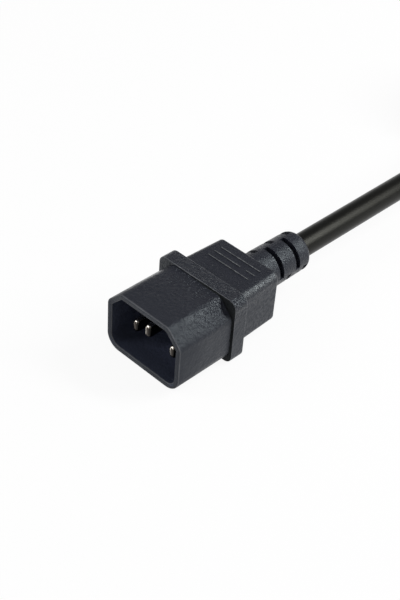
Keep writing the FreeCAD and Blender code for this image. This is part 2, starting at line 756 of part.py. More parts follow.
def cord_tail():
    """The cord's last stretch, from the hank to its end inside the connector's strain relief."""
    length = "Sizes.relief_length - Sizes.jacket_lead_in"
    tail = doc.addObject("Part::Cylinder", "cord_tail")
    tail.Label = "cord_tail"
    tail.setExpression("Radius", "Sizes.cord_diameter / 2")
    tail.setExpression("Height", length)
    tail.Placement = Placement(Vector(), Rotation(ALONG_X, -90.0))
    for axis, formula in (
            ("x", f"Sizes.hank_x - {WAIST}"), ("y", hank_y("Sizes.tail_start")), ("z", tail_height())):
        tail.setExpression(f"Placement.Base.{axis}", formula)
    return tail


def cord_tie():
    """A band round the hank's waist."""
    half = f"(2 * {WAIST} + Sizes.tie_thick / 2)"
    inner_top = f"({tail_height()} + Sizes.cord_diameter / 2 + Sizes.turn_gap)"
    outer = primitive(
        "Part::Box", "tie_outer",
        {"Length": f"2 * ({half} + Sizes.tie_thick)", "Width": "Sizes.tie_width",
         "Height": f"{inner_top} + Sizes.tie_thick"},
        f"Sizes.hank_x - {half} - Sizes.tie_thick", hank_y("-Sizes.tie_width / 2"))
    inner = primitive(
        "Part::Box", "tie_inner",
        {"Length": f"2 * {half}", "Width": "2 * Sizes.tie_width", "Height": f"{inner_top} - Sizes.tie_thick"},
        f"Sizes.hank_x - {half}", hank_y("-Sizes.tie_width"), "Sizes.tie_thick")
    tie = doc.addObject("Part::Cut", "cord_tie")
    tie.Base = outer
    tie.Tool = inner
    tie.Label = "cord_tie"
    doc.recompute()
    return tie


# Far connector

def spigot_block():
    """Width and height of the block behind the connector's face that the handle grips."""
    width = "(Sizes.face_width - 2 * Sizes.spigot_inset)"
    height = "(Sizes.face_height - 2 * Sizes.spigot_inset)"
    return width, height


def spigot_room():
    """The block's outer shape, which keeps the handle's moulding out of the chambers."""
    width, height = spigot_block()
    room = doc.addObject("Part::Box", "spigot_room")
    room.setExpression("Length", width)
    room.setExpression("Width", "Sizes.spigot_length")
    room.setExpression("Height", height)
    place_in_connector(room, f"-{width} / 2", "Sizes.face_reach", f"-{height} / 2")
    return room


def connector_insert():
    """The rigid front of the connector, with a slot and a chamber for each contact."""
    body = new_body("connector_insert")
    outline = cut_corner_outline("Sizes.face_width", "Sizes.face_height", "Sizes.face_chamfer")
    pad(body, "FacePad", add_polygon(sketch_on(body, "FaceOutline"), outline), "Sizes.face_reach")
    low = -size("face_height") / 2
    fillet(
        body, "FaceCorners",
        lambda edge: runs_along(edge, ALONG_Y) and near(edge.CenterOfMass.z, low),
        "Sizes.face_corner")
    fillet(
        body, "FaceEdges",
        lambda edge: runs_along(edge, ALONG_Y) and edge.CenterOfMass.z > 0,
        "Sizes.shroud_edge")
    fillet(body, "FaceRound", lambda edge: lies_at_y(edge, 0.0), "Sizes.rim_round")
    spigot_sketch = sketch_on(body, "SpigotOutline", offset="Sizes.face_reach")
    pad(body, "Spigot", add_polygon(spigot_sketch, centred(*spigot_block())), "Sizes.spigot_length")
    for name, (across, up) in PIN_PLACES.items():
        middle_x = f"{across} * Sizes.pin_pitch"
        middle_z = f"{up} * Sizes.earth_offset"
        cuts = (
            ("Slot", "0", "(Sizes.pin_thick / 2 + Sizes.slot_gap)", "(Sizes.pin_width / 2 + Sizes.slot_gap)",
             "Sizes.front_wall"),
            ("Chamber", "Sizes.front_wall", "(Sizes.contact_thick / 2 + Sizes.fit_gap)",
             "(Sizes.contact_width / 2 + Sizes.fit_gap)",
             "Sizes.face_reach + Sizes.spigot_length - Sizes.front_wall"))
        for label, start, half_x, half_z, depth in cuts:
            sketch = sketch_on(body, f"{label}_{name}_outline", offset=start)
            add_polygon(sketch, rectangle(
                f"{middle_x} - {half_x}", f"{middle_x} + {half_x}",
                f"{middle_z} - {half_z}", f"{middle_z} + {half_z}"))
            pocket(body, f"{label}_{name}", sketch, depth)
    return place_in_connector(body)


def contact(name):
    """One sprung contact: two leaves that grip the pin, and a crimp barrel."""
    body = new_body(f"contact_{name}")
    blade = add_polygon(
        sketch_on(body, "LeafOutline"), centred("Sizes.contact_thick", "Sizes.contact_width"))
    pad(body, "Leaves", blade, "Sizes.contact_length")
    gap = add_polygon(
        sketch_on(body, "GapOutline"), centred("Sizes.pin_thick", "Sizes.contact_width + Sizes.fit_gap"))
    pocket(body, "LeafGap", gap, "Sizes.contact_grip")
    barrel_and_bore(body, "Sizes.contact_length")
    across, up = PIN_PLACES[name]
    return place_in_connector(
        body, f"{across} * Sizes.pin_pitch", "Sizes.front_wall", f"{up} * Sizes.earth_offset")


def connector_wires():
    barrel_end = size("front_wall") + size("contact_length") + size("barrel_length")
    jacket_end = size("face_reach") + size("handle_length") + size("jacket_lead_in")
    for name in PIN_PLACES:
        core_and_conductor("connector_", name, barrel_end, jacket_end, place_in_connector)


def handle_grooves(body):
    """Upright finger grooves down both sides of the handle."""
    top = "Sizes.handle_height / 2"
    for side in (-1, 1):
        for row in range(int(size("rib_rows"))):
            along = f"(Sizes.rib_start + {row} * Sizes.rib_pitch)"
            face = f"(Sizes.handle_width / 2 - Sizes.handle_taper * {along} / Sizes.handle_length)"
            near_end = f"(Sizes.face_reach + {along})"
            name = f"Groove_{'left' if side < 0 else 'right'}_{row}"
            outline = sketch_on(body, f"{name}_outline", role="XY_Plane", offset=top)
            add_polygon(outline, rectangle(
                f"{side} * ({face} - Sizes.rib_depth)", f"{side} * Sizes.handle_width",
                near_end, f"{near_end} + Sizes.rib_width"))
            pocket(body, name, outline, "Sizes.handle_height + Sizes.grip_drop")


def connector_form():
    body = new_body("connector_form")
    tapered_grip(
        body, "Sizes.face_reach", "Sizes.handle_width", "Sizes.handle_taper", "Sizes.handle_height",
        "Sizes.handle_length")
    handle_grooves(body)
    strain_relief(body, "(Sizes.face_reach + Sizes.handle_length)")
    return place_in_connector(body)


def wires_of(prefix, *kinds):
    return [doc.getObject(f"{prefix}{kind}_{name}") for kind in kinds for name in PIN_PLACES]


def build():
    """Make every sub-part and return those that are written, by label."""
    shell = shroud_flange()
    carrier = pin_carrier()
    pins = [pin(name) for name in PIN_PLACES]
    plug_wires()
    lead = cord_lead()
    grip = moulded_over(
        "grip_overmould", grip_form(), [bridge_room(), *pins, *wires_of("", "core_room"), lead])

    hank = cord_hank()
    tie = cord_tie()
    tail = cord_tail()

    insert = connector_insert()
    contacts = [contact(name) for name in PIN_PLACES]
    connector_wires()
    handle = moulded_over(
        "connector_overmould", connector_form(),
        [spigot_room(), *contacts, *wires_of("connector_", "core_room"), tail])
    doc.recompute()
    wires = wires_of("", "core", "conductor") + wires_of("connector_", "core", "conductor")
    return [shell, carrier, *pins, grip, lead, hank, tie, tail, insert, *contacts, handle, *wires]


def check(pieces):
    """Stop if any object failed or any piece is not a whole solid."""
    for item in doc.Objects:
        if {"Invalid", "Error"} & set(item.State):
            raise ValueError(f"{item.Label} failed: {item.State}")
    for piece in pieces:
        shape = piece.Shape
        if shape.isNull() or not shape.isValid() or not shape.Solids:
            raise ValueError(f"{piece.Label} is not a valid solid")


def main():
    pieces = build()
    check(pieces)
    os.makedirs("parts", exist_ok=True)
    for piece in pieces:
        piece.Shape.exportStep(f"parts/{piece.Label}.step")
    return pieces


pieces = main()
for piece in pieces:
    box = piece.Shape.BoundBox
    print(
        f"{piece.Label}: {len(piece.Shape.Solids)} solid, {piece.Shape.Volume:.1f} mm3,"
        f" x {box.XMin:.2f} to {box.XMax:.2f}, y {box.YMin:.2f} to {box.YMax:.2f},"
        f" z {box.ZMin:.2f} to {box.ZMax:.2f}")
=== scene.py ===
import math

import bmesh
import bpy
from mathutils import Matrix, Vector

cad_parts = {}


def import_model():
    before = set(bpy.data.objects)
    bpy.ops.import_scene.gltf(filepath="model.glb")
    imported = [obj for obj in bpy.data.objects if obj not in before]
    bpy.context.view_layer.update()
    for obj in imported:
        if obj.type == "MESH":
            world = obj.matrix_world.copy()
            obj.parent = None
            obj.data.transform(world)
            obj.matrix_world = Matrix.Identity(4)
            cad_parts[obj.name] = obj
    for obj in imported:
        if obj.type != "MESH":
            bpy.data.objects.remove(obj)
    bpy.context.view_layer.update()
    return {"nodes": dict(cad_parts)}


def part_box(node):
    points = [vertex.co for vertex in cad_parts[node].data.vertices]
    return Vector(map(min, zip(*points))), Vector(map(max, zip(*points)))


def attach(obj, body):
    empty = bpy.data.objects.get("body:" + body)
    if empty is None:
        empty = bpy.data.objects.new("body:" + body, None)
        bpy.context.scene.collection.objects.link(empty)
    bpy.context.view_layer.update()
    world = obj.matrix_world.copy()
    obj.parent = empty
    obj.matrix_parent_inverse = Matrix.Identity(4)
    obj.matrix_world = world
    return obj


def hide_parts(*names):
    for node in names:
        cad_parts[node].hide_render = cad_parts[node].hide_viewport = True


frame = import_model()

# The looks of a detachable power cord: grained plastic plug, satin cord, tied hank and connector.
# Sizes are in metres and angles in degrees, in the row frame: +Y from the plug's mouth to its cord,
# +Z up.

MM = 0.001
POLES = ("line", "neutral", "earth")

# Sizes that the scene shares with the part's source
SHROUD_WIDTH = 27.6 * MM
SHROUD_HEIGHT = 20.2 * MM
SHROUD_CHAMFER = 4.8 * MM
SHROUD_WALL = 1.6 * MM
SHROUD_REACH = 19.5 * MM
FLANGE_DROP = 0.6 * MM
PLUG_AXIS_Z = 10.5 * MM
LINE_RISE = 0.15 * MM
RELIEF_LENGTH = 21.0 * MM
CORD_DIAMETER = 7.5 * MM
JACKET_LEAD_IN = 2.0 * MM
TURN_GAP = 0.1 * MM
HANK_X = -8.0 * MM
HANK_OFFSET = 174.0 * MM
HANK_HALF = 67.5 * MM
FOLD_RADIUS = 24.0 * MM
TIE_WIDTH = 12.0 * MM
TIE_THICK = 1.2 * MM

# Places read from the solids
MOUTH_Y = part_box("shroud_flange")[0][1]
FLANGE_Y = MOUTH_Y + SHROUD_REACH
SEAM_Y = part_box("shroud_flange")[1][1]
EXIT_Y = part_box("grip_overmould")[1][1]
RELIEF_Y = EXIT_Y - RELIEF_LENGTH
GRIP_TOP_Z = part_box("grip_overmould")[1][2]
TAIL_Z = (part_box("cord_tail")[0][2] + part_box("cord_tail")[1][2]) / 2
TAIL_END_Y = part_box("cord_tail")[1][1]

# Heights worked out from the sizes
SHROUD_AXIS_Z = FLANGE_DROP + SHROUD_HEIGHT / 2
CHAMFER_FOOT_Z = SHROUD_AXIS_Z + SHROUD_HEIGHT / 2 - SHROUD_CHAMFER

# How far the cavity reaches from the shroud's middle: across, up or down, and slantwise to its cut
# corners and its round ones. The margin takes in the walls' own faces.
CAVITY_MARGIN = 0.1 * MM
ROUND_CORNER_LOSS = 4.0 * MM
CAVITY_SIDE = SHROUD_WIDTH / 2 - SHROUD_WALL + CAVITY_MARGIN
CAVITY_ROOF = SHROUD_HEIGHT / 2 - SHROUD_WALL + CAVITY_MARGIN
SLANT_REACH = (SHROUD_WIDTH + SHROUD_HEIGHT) / 2
CAVITY_CUT = SLANT_REACH - SHROUD_CHAMFER - SHROUD_WALL * math.sqrt(2) + CAVITY_MARGIN
CAVITY_ROUND = SLANT_REACH - ROUND_CORNER_LOSS

# The cord's real length is that of a 1 m lead without its two moulded ends. Between the plug and
# the hank it is straight as far as the photograph shows it, then goes down to the floor. Places
# there are measured along from where it leaves the plug.
CORD_FLOOR_Z = CORD_DIAMETER / 2
LEAD_STRAIGHT = (16.0 * MM, 42.0 * MM, 66.0 * MM)
LEAD_TOUCHDOWN = 88.0 * MM

# The hank's turns, measured from the hank's own middle. The run-in is the cord on its way to the
# first turn, and the tail is its last stretch over the turns and the strap to the connector.
TURN_PITCH = CORD_DIAMETER + TURN_GAP
WAIST_HALF = TURN_PITCH / 2
WAIST_STEPS = 4
RUN_IN_FLOOR = (-58.0 * MM, -42.0 * MM, -27.0 * MM)
RUN_IN_STRAP = (-12.0 * MM, 0.0)
STRAP_REACH = 22.0 * MM
STRAP_CLIMB = 12.0 * MM
NEAR_FOLD_RISE = (0.05, 0.25, 0.52, 0.84, 1.01, 1.01, 1.01, 1.0)  # in turns, round the fold
TAIL_CLIMB = (19.4 * MM, 20.9 * MM)  # heights
TAIL_OVER_STRAP = ((-5.0 * MM, 22.6 * MM), (4.0 * MM, TAIL_Z))  # along, height
TAIL_STRAIGHT = 12.0 * MM

# The strap's rounded corners and its free end
TIE_CORNER = 3.0 * MM
TIE_CORNER_STEPS = 6
TIE_EDGE = 0.3 * MM
TIE_EDGE_ANGLE = 50.0
FREE_END_THICK = 0.9 * MM
FREE_END_DROP = 9.0 * MM
FREE_END_INSET = 0.35 * MM

# Tones of the materials
WHITE = (1.0, 1.0, 1.0, 1.0)
COOL_GLOSS = (0.86, 0.97, 1.0, 1.0)
WARM_GLOSS = (1.0, 1.0, 0.88, 1.0)
PLASTIC = ((0.0115, 0.0122, 0.0190), (0.0138, 0.0145, 0.0218))
# Painted fill light inside the shroud's cavity, lighter the deeper it goes
CAVITY_PAINTED_FILL = ((0.022, 0.026, 0.044), (0.070, 0.080, 0.125))
SCRATCH = (0.07, 0.075, 0.08)
# Painted highlight on the rounded edges of the mouth's rim
RIM_EDGE_PAINTED_HIGHLIGHT = (0.085, 0.086, 0.095)
# Painted highlight on the flange's rounded front and rear edges
FLANGE_EDGE_PAINTED_HIGHLIGHT = (0.14, 0.143, 0.155)
# Painted shade in the recess where the shroud meets the flange
JOINT_PAINTED_SHADE = (0.0015, 0.0015, 0.0022)
FLECK = (0.16, 0.17, 0.17)
# Wear and painted highlight on the crests of the grip's raised lines
LINE_WEAR_AND_HIGHLIGHT = (0.15, 0.155, 0.16)
SEAM = (0.11, 0.115, 0.125)
# Painted highlight, speckled, on the grip's rounded long edges
GRIP_EDGE_PAINTED_HIGHLIGHT = (0.105, 0.11, 0.115)
# Painted fill light: the pin carrier is toned lighter than the moulding to lift the cavity's shade
CARRIER_PAINTED_FILL = ((0.055, 0.064, 0.100), (0.063, 0.073, 0.114))
CONNECTOR_FACE = ((0.011, 0.012, 0.015), (0.014, 0.015, 0.018))
JACKET = ((0.0018, 0.0018, 0.0018), (0.0026, 0.0026, 0.0025))
NICKEL = ((0.54, 0.50, 0.44), (0.74, 0.70, 0.63))
# Painted shade and light on the pins by the way their faces turn
NICKEL_FRONT_PAINTED_SHADE = (0.055, 0.047, 0.041)
NICKEL_SIDE_PAINTED_SHADE = (0.018, 0.017, 0.016)
NICKEL_TOP_PAINTED_LIGHT = (0.40, 0.37, 0.33)
COPPER = ((0.62, 0.28, 0.14), (0.78, 0.40, 0.24))
CORE_BROWN = ((0.13, 0.05, 0.02), (0.17, 0.07, 0.03))
CORE_BLUE = ((0.03, 0.12, 0.40), (0.04, 0.15, 0.46))
CORE_GREEN_YELLOW = ((0.06, 0.30, 0.05), (0.80, 0.65, 0.05))
STRIPE_RATE = 2.4 / MM  # radians to the metre
STRAP = ((0.006, 0.006, 0.007), (0.020, 0.020, 0.022))

# Grain and marks of the mouldings
SHROUD_GRAIN = 0.95 * MM
SHROUD_GRAIN_HEIGHT = 0.28 * MM
GRIP_GRAIN = 0.5 * MM
GRIP_GRAIN_HEIGHT = 0.10 * MM
SCRATCH_LENGTH = 9 * MM
SCRATCH_SPACING = 0.35 * MM
SCRATCH_TILT = (0, 50, 60)
FLECK_SIZE = 0.6 * MM
SPECKLE_SIZE = 0.36 * MM

# Where the plug carries painted highlights and painted shade, and where it is smoother. The rim's
# painted highlight band is measured back from the mouth, the joint's painted shade from the
# flange's front, and the grip's smoother sides down from its top.
RIM_HIGHLIGHT_BAND = (0.05 * MM, 0.15 * MM, 0.35 * MM, 0.50 * MM)
JOINT_START = -0.45 * MM
JOINT_FULL = -0.25 * MM
JOINT_END = 0.12 * MM
SEAM_WIDTH = 0.45 * MM
GRIP_SIDES_START = 3.5 * MM
GRIP_SIDES_FULL = 6 * MM

# The camera, by the photograph's viewing direction. Scale is in pixels per millimetre.
VIEW_AZIMUTH = 42.0
VIEW_ELEVATION = 39.5
VIEW_ROLL = 4.5
VIEW_DISTANCE = 0.32
VIEW_SCALE = 3.60
PLUG_PIXEL = (223.0, 292.0)
IMAGE_SIZE = (400.0, 600.0)
SENSOR = 36.0

# The stage. Light levels are shares of plain white, and heights are sines of the elevation.
FLOOR_SIZE = 30.0
FLOOR_TONE = (0.85, 0.85, 0.85, 1.0)
FLOOR_GLOW = 0.92
WORLD_LEVEL = 0.26
WALL_FULL_TO = 0.10
WALL_GONE_AT = 0.20
LAMP_DISTANCE = 0.8
LAMPS = (  # name, direction from the plug, width, height, power
    ("overhead", (0.15, -0.1, 1.0), 0.7, 0.7, 1.0),
    ("sheen", (0.50, 0.575, 0.65), 0.56, 0.12, 5.6),
    ("front", (-0.55, -0.65, 0.55), 0.3, 0.3, 1.8),
    ("mouth", (-0.10, -1.0, 0.25), 0.2, 0.2, 0.7),
)


# Material helpers

class Nodes:
    """The node tree of a material or a world, with short calls to add and link nodes."""

    COLOUR_INPUTS = (6, 7)  # of a colour Mix node, whose sockets share their names
    COLOUR_OUTPUT = 2

    def __init__(self, owner):
        self.owner = owner
        owner.use_nodes = True
        self.tree = owner.node_tree
        self.tree.nodes.clear()

    def add(self, kind, **settings):
        node = self.tree.nodes.new(kind)
        for key, setting in settings.items():
            setattr(node, key, setting)
        return node

    def link(self, source, target):
        self.tree.links.new(source, target)

    def feed(self, socket, entry):
        """Gives a socket another socket's value, a number or a colour."""
        if isinstance(entry, tuple):
            socket.default_value = (*entry, 1.0)
        elif isinstance(entry, (int, float)):
            socket.default_value = entry
        else:
            self.link(entry, socket)

    def place(self):
        """Object coordinates, in metres, the same for every piece of the frame."""
        return self.add("ShaderNodeTexCoord").outputs["Object"]

    def part(self, vector, name):
        """The X, Y or Z of a vector."""
        split = self.add("ShaderNodeSeparateXYZ")
        self.link(vector, split.inputs[0])
        return split.outputs[name]

    def axis(self, name):
        """One of the object coordinates."""
        return self.part(self.place(), name)

    def facing(self, name):
        """One part of the surface's own direction, -1 to 1."""
        return self.part(self.add("ShaderNodeTexCoord").outputs["Normal"], name)

    def noise(self, size, detail=2.0, roughness=0.5, vector=None):
        """Noise whose features are about the given size across."""
        node = self.add("ShaderNodeTexNoise")
        node.inputs["Scale"].default_value = 1.0 / size
        node.inputs["Detail"].default_value = detail
        node.inputs["Roughness"].default_value = roughness
        self.link(vector or self.place(), node.inputs["Vector"])
        return node.outputs["Fac"]

    def cells(self, size):
        """Rounded cells of about the given size, 0 at their middles."""
        node = self.add("ShaderNodeTexVoronoi", feature="SMOOTH_F1")
        node.inputs["Scale"].default_value = 1.0 / size
        self.link(self.place(), node.inputs["Vector"])
        return node.outputs["Distance"]

    def streaks(self, length, spacing, tilt):
        """Rare fine scratches, 0 to 1, along X turned by the tilt's angles."""
        mapping = self.add("ShaderNodeMapping")
        mapping.inputs["Rotation"].default_value = [math.radians(angle) for angle in tilt]
        mapping.inputs["Scale"].default_value = (spacing / length, 1.0, 1.0)
        self.link(self.place(), mapping.inputs["Vector"])
        return self.spread(self.noise(spacing, detail=1.0, vector=mapping.outputs[0]), 0.73, 0.78)

    def spread(self, value, low, high, to_low=0.0, to_high=1.0):
        """Remaps a value's range, clamped."""
        node = self.add("ShaderNodeMapRange")
        node.inputs["From Min"].default_value = low
        node.inputs["From Max"].default_value = high
        node.inputs["To Min"].default_value = to_low
        node.inputs["To Max"].default_value = to_high
        self.link(value, node.inputs["Value"])
        return node.outputs["Result"]

    def band(self, value, start, full, fading, end):
        """1 where a value lies between full and fading, down to 0 at start and at end."""
        return self.math(
            "MULTIPLY", self.spread(value, start, full), self.spread(value, fading, end, 1.0, 0.0))

    def varied(self, size, low, high, detail=2.0):
        """A measure that wanders between two values in patches of about the given size."""
        return self.spread(self.noise(size, detail=detail), 0.3, 0.7, low, high)

    def mottled(self, size, tones, detail=2.0):
        """A colour that wanders between two tones in patches of about the given size."""
        return self.blend(self.spread(self.noise(size, detail=detail), 0.35, 0.65), *tones)

    def math(self, operation, value, *others):
        """An operation on one value, or on several in turn. Each is a socket or a number."""
        for other in others or (0.0,):
            node = self.add("ShaderNodeMath", operation=operation)
            self.feed(node.inputs[0], value)
            self.feed(node.inputs[1], other)
            value = node.outputs[0]
        return value

    def blend(self, factor, first, second):
        """A colour between two colours."""
        node = self.add("ShaderNodeMix", data_type="RGBA")
        self.link(factor, node.inputs["Factor"])
        for index, entry in zip(self.COLOUR_INPUTS, (first, second)):
            self.feed(node.inputs[index], entry)
        return node.outputs[self.COLOUR_OUTPUT]

    def bump(self, height, distance, strength=1.0):
        node = self.add("ShaderNodeBump")
        node.inputs["Strength"].default_value = strength
        node.inputs["Distance"].default_value = distance
        self.link(height, node.inputs["Height"])
        return node.outputs["Normal"]

    def surface(self, tone, roughness, normal=None, **constants):
        """Ends a material in a Principled surface. Roughness may be a socket or a number."""
        shader = self.add("ShaderNodeBsdfPrincipled")
        self.link(tone, shader.inputs["Base Color"])
        self.feed(shader.inputs["Roughness"], roughness)
        if normal:
            self.link(normal, shader.inputs["Normal"])
        for name, setting in constants.items():
            shader.inputs[name.replace("_", " ")].default_value = setting
        return self.finish(shader, "ShaderNodeOutputMaterial")

    def finish(self, shader, output):
        """Ends the tree in an output of the given kind."""
        self.link(shader.outputs[0], self.add(output).inputs["Surface"])
        return self.owner


def new_material(name):
    return Nodes(bpy.data.materials.new(name))


def leather_grain(nodes, size):
    """Height of a spark-eroded grain: rounded cells broken up by finer noise."""
    fine = nodes.noise(0.4 * size, detail=3.0, roughness=0.6)
    return nodes.math("ADD", nodes.cells(size), nodes.math("MULTIPLY", fine, 0.8))


def in_cavity(nodes):
    """1 on the walls inside the shroud, 0 outside."""
    across = nodes.math("ABSOLUTE", nodes.axis("X"))
    height = nodes.math("SUBTRACT", nodes.axis("Z"), SHROUD_AXIS_Z)
    limits = (
        (across, CAVITY_SIDE),
        (nodes.math("ABSOLUTE", height), CAVITY_ROOF),
        (nodes.math("ADD", across, height), CAVITY_CUT),
        (nodes.math("SUBTRACT", across, height), CAVITY_ROUND),
    )
    within = [nodes.math("LESS_THAN", measure, limit) for measure, limit in limits]
    return nodes.math("MULTIPLY", *within)


def shroud_plastic():
    """Rigid plastic, blue-black, with a grain that is deepest by the flange and on the chamfers,
    painted highlights on the rounded edges round the mouth and the flange, painted fill light that
    grows deeper in the cavity, and painted shade where the shroud meets the flange on the near
    side."""
    nodes = new_material("shroud_grain")
    along = nodes.axis("Y")
    height = nodes.axis("Z")
    depth = nodes.spread(along, MOUTH_Y, FLANGE_Y - 4 * MM, 0.45, 1.0)
    upper = nodes.spread(height, CHAMFER_FOOT_Z - 2 * MM, CHAMFER_FOOT_Z, 0.5, 1.0)
    grain = nodes.math("MULTIPLY", leather_grain(nodes, SHROUD_GRAIN), depth, upper)

    tone = nodes.mottled(9 * MM, PLASTIC, detail=4.0)
    # Painted fill light: the cavity's walls grow lighter with depth, where little light reaches
    painted_cavity_fill = nodes.blend(nodes.spread(along, MOUTH_Y + 4 * MM, MOUTH_Y + 15 * MM), *CAVITY_PAINTED_FILL)
    tone = nodes.blend(in_cavity(nodes), tone, painted_cavity_fill)
    scratches = nodes.streaks(SCRATCH_LENGTH, SCRATCH_SPACING, SCRATCH_TILT)
    scratched = nodes.math("MULTIPLY", scratches, 0.5)
    tone = nodes.blend(scratched, tone, SCRATCH)

    patchy = nodes.spread(nodes.noise(5 * MM, detail=3.0), 0.3, 0.6, 0.45, 1.0)
    # Painted highlight on the rim's rounded edges round the mouth, broken up in patches
    rim = nodes.band(along, *(MOUTH_Y + back for back in RIM_HIGHLIGHT_BAND))
    tone = nodes.blend(nodes.math("MULTIPLY", rim, patchy), tone, RIM_EDGE_PAINTED_HIGHLIGHT)
    # Painted highlight on the flange's rounded edges, broken up in patches
    rounding = nodes.band(nodes.math("ABSOLUTE", nodes.facing("Y")), 0.15, 0.4, 0.8, 0.95)
    on_flange = nodes.math("GREATER_THAN", along, FLANGE_Y - 0.1 * MM)
    tone = nodes.blend(nodes.math("MULTIPLY", rounding, on_flange, patchy), tone, FLANGE_EDGE_PAINTED_HIGHLIGHT)

    # Painted shade where the shroud meets the flange, ragged, strongest on the near (+X) side
    ragged = nodes.math("ADD", along, nodes.varied(1.2 * MM, -0.2 * MM, 0.2 * MM, detail=3.0))
    joint_shade = nodes.math(
        "MULTIPLY",
        nodes.spread(ragged, FLANGE_Y + JOINT_START, FLANGE_Y + JOINT_FULL),
        nodes.math("LESS_THAN", along, FLANGE_Y + JOINT_END),
        nodes.spread(nodes.axis("X"), -2 * MM, 4 * MM, 0.25, 1.0))
    tone = nodes.blend(joint_shade, tone, JOINT_PAINTED_SHADE)

    gloss = nodes.math(
        "ADD",
        nodes.spread(depth, 0.45, 1.0, 0.50, 0.26),
        nodes.spread(nodes.noise(4 * MM, detail=3.0), 0.35, 0.65, -0.05, 0.05),
        nodes.spread(height, CHAMFER_FOOT_Z, CHAMFER_FOOT_Z + 2.5 * MM, 0.14, 0.0),
        nodes.math("MULTIPLY", joint_shade, 0.45))
    return nodes.surface(
        tone, gloss, nodes.bump(grain, SHROUD_GRAIN_HEIGHT),
        Specular_IOR_Level=0.36, Specular_Tint=COOL_GLOSS)


def grip_plastic():
    """Softer moulding, finely grained, with a few pale flecks. On the plug its raised lines are
    pale with wear and a painted highlight, its rounded long edges carry a speckled painted
    highlight, a pale line runs along its seam with the flange, and its sides are smoother."""
    nodes = new_material("grip_grain")
    along = nodes.axis("Y")
    height = nodes.axis("Z")
    past_grip = nodes.math("GREATER_THAN", along, RELIEF_Y)
    upper = nodes.spread(
        height, GRIP_TOP_Z - GRIP_SIDES_FULL, GRIP_TOP_Z - GRIP_SIDES_START, 0.45, 1.0)
    depth = nodes.math("MAXIMUM", upper, past_grip)
    grain = nodes.math("MULTIPLY", leather_grain(nodes, GRIP_GRAIN), depth)

    tone = nodes.mottled(7 * MM, PLASTIC, detail=4.0)
    flecks = nodes.spread(nodes.noise(FLECK_SIZE, detail=1.0), 0.76, 0.80)
    tone = nodes.blend(nodes.math("MULTIPLY", flecks, 0.6), tone, FLECK)

    patchy = nodes.spread(nodes.noise(1.2 * MM, detail=3.0), 0.38, 0.64, 0.15, 1.0)
    # The raised lines' crests are pale: wear and a painted highlight
    crest = nodes.spread(height, GRIP_TOP_Z - 0.45 * LINE_RISE, GRIP_TOP_Z - 0.2 * LINE_RISE)
    on_plug = nodes.math("LESS_THAN", along, EXIT_Y)
    tone = nodes.blend(nodes.math("MULTIPLY", crest, on_plug, patchy), tone, LINE_WEAR_AND_HIGHLIGHT)
    seam = nodes.math("LESS_THAN", along, SEAM_Y + SEAM_WIDTH)
    tone = nodes.blend(nodes.math("MULTIPLY", seam, patchy), tone, SEAM)
    # Painted highlight on the grip's rounded long edges, broken into speckles
    slanting = nodes.math("MINIMUM", nodes.math("ABSOLUTE", nodes.facing("X")), nodes.facing("Z"))
    long_edge = nodes.math("SUBTRACT", nodes.spread(slanting, 0.25, 0.60), past_grip)
    speckle = nodes.spread(nodes.noise(SPECKLE_SIZE), 0.40, 0.60)
    tone = nodes.blend(nodes.math("MULTIPLY", long_edge, speckle), tone, GRIP_EDGE_PAINTED_HIGHLIGHT)

    gloss = nodes.math(
        "ADD",
        nodes.spread(nodes.noise(0.9 * MM, detail=4.0), 0.38, 0.62, 0.24, 0.48),
        nodes.spread(depth, 0.45, 1.0, 0.08, 0.0))
    return nodes.surface(
        tone, gloss, nodes.bump(grain, GRIP_GRAIN_HEIGHT),
        Specular_IOR_Level=0.34, Specular_Tint=COOL_GLOSS)


def dull_plastic(name, tones, roughness):
    """A plain moulding that nobody handles, nearly smooth."""
    nodes = new_material(name)
    tone = nodes.mottled(3 * MM, tones, detail=4.0)
    gloss = nodes.varied(1.5 * MM, roughness - 0.05, roughness + 0.05, detail=3.0)
    normal = nodes.bump(nodes.noise(0.2 * MM, detail=3.0), 0.015 * MM)
    return nodes.surface(tone, gloss, normal, Specular_IOR_Level=0.25, Specular_Tint=COOL_GLOSS)


def cord_jacket():
    """Black sheath, smooth enough for a soft bright stripe, with faint marks along it."""
    nodes = new_material("cord_satin")
    tone = nodes.mottled(12 * MM, JACKET, detail=3.0)
    gloss = nodes.varied(2.5 * MM, 0.33, 0.37, detail=3.0)
    normal = nodes.bump(nodes.noise(0.5 * MM), 0.01 * MM, strength=0.5)
    return nodes.surface(tone, gloss, normal, Specular_IOR_Level=0.20, Specular_Tint=WARM_GLOSS)


def nickel():
    """Plate on the pins, bright on the edges that face left, with painted shade on the rest: dark
    brown on the front, black on the right side and a lighter painted tone on the tops.
    """
    nodes = new_material("nickel_plate")
    tone = nodes.mottled(1.5 * MM, NICKEL, detail=3.0)
    aside = nodes.facing("X")
    # Painted shade: dark on faces not turned left, black on the right side, lighter on the tops
    tone = nodes.blend(nodes.spread(aside, -0.20, -0.02), tone, NICKEL_FRONT_PAINTED_SHADE)
    tone = nodes.blend(nodes.spread(aside, 0.15, 0.55), tone, NICKEL_SIDE_PAINTED_SHADE)
    tone = nodes.blend(nodes.spread(nodes.facing("Z"), 0.45, 0.75), tone, NICKEL_TOP_PAINTED_LIGHT)
    gloss = nodes.varied(0.9 * MM, 0.16, 0.26, detail=3.0)
    normal = nodes.bump(nodes.noise(0.5 * MM), 0.01 * MM, strength=0.6)
    return nodes.surface(tone, gloss, normal, Metallic=1.0)


def copper():
    nodes = new_material("bare_copper")
    tone = nodes.mottled(1.2 * MM, COPPER)
    return nodes.surface(tone, nodes.varied(0.8 * MM, 0.28, 0.42), Metallic=1.0)


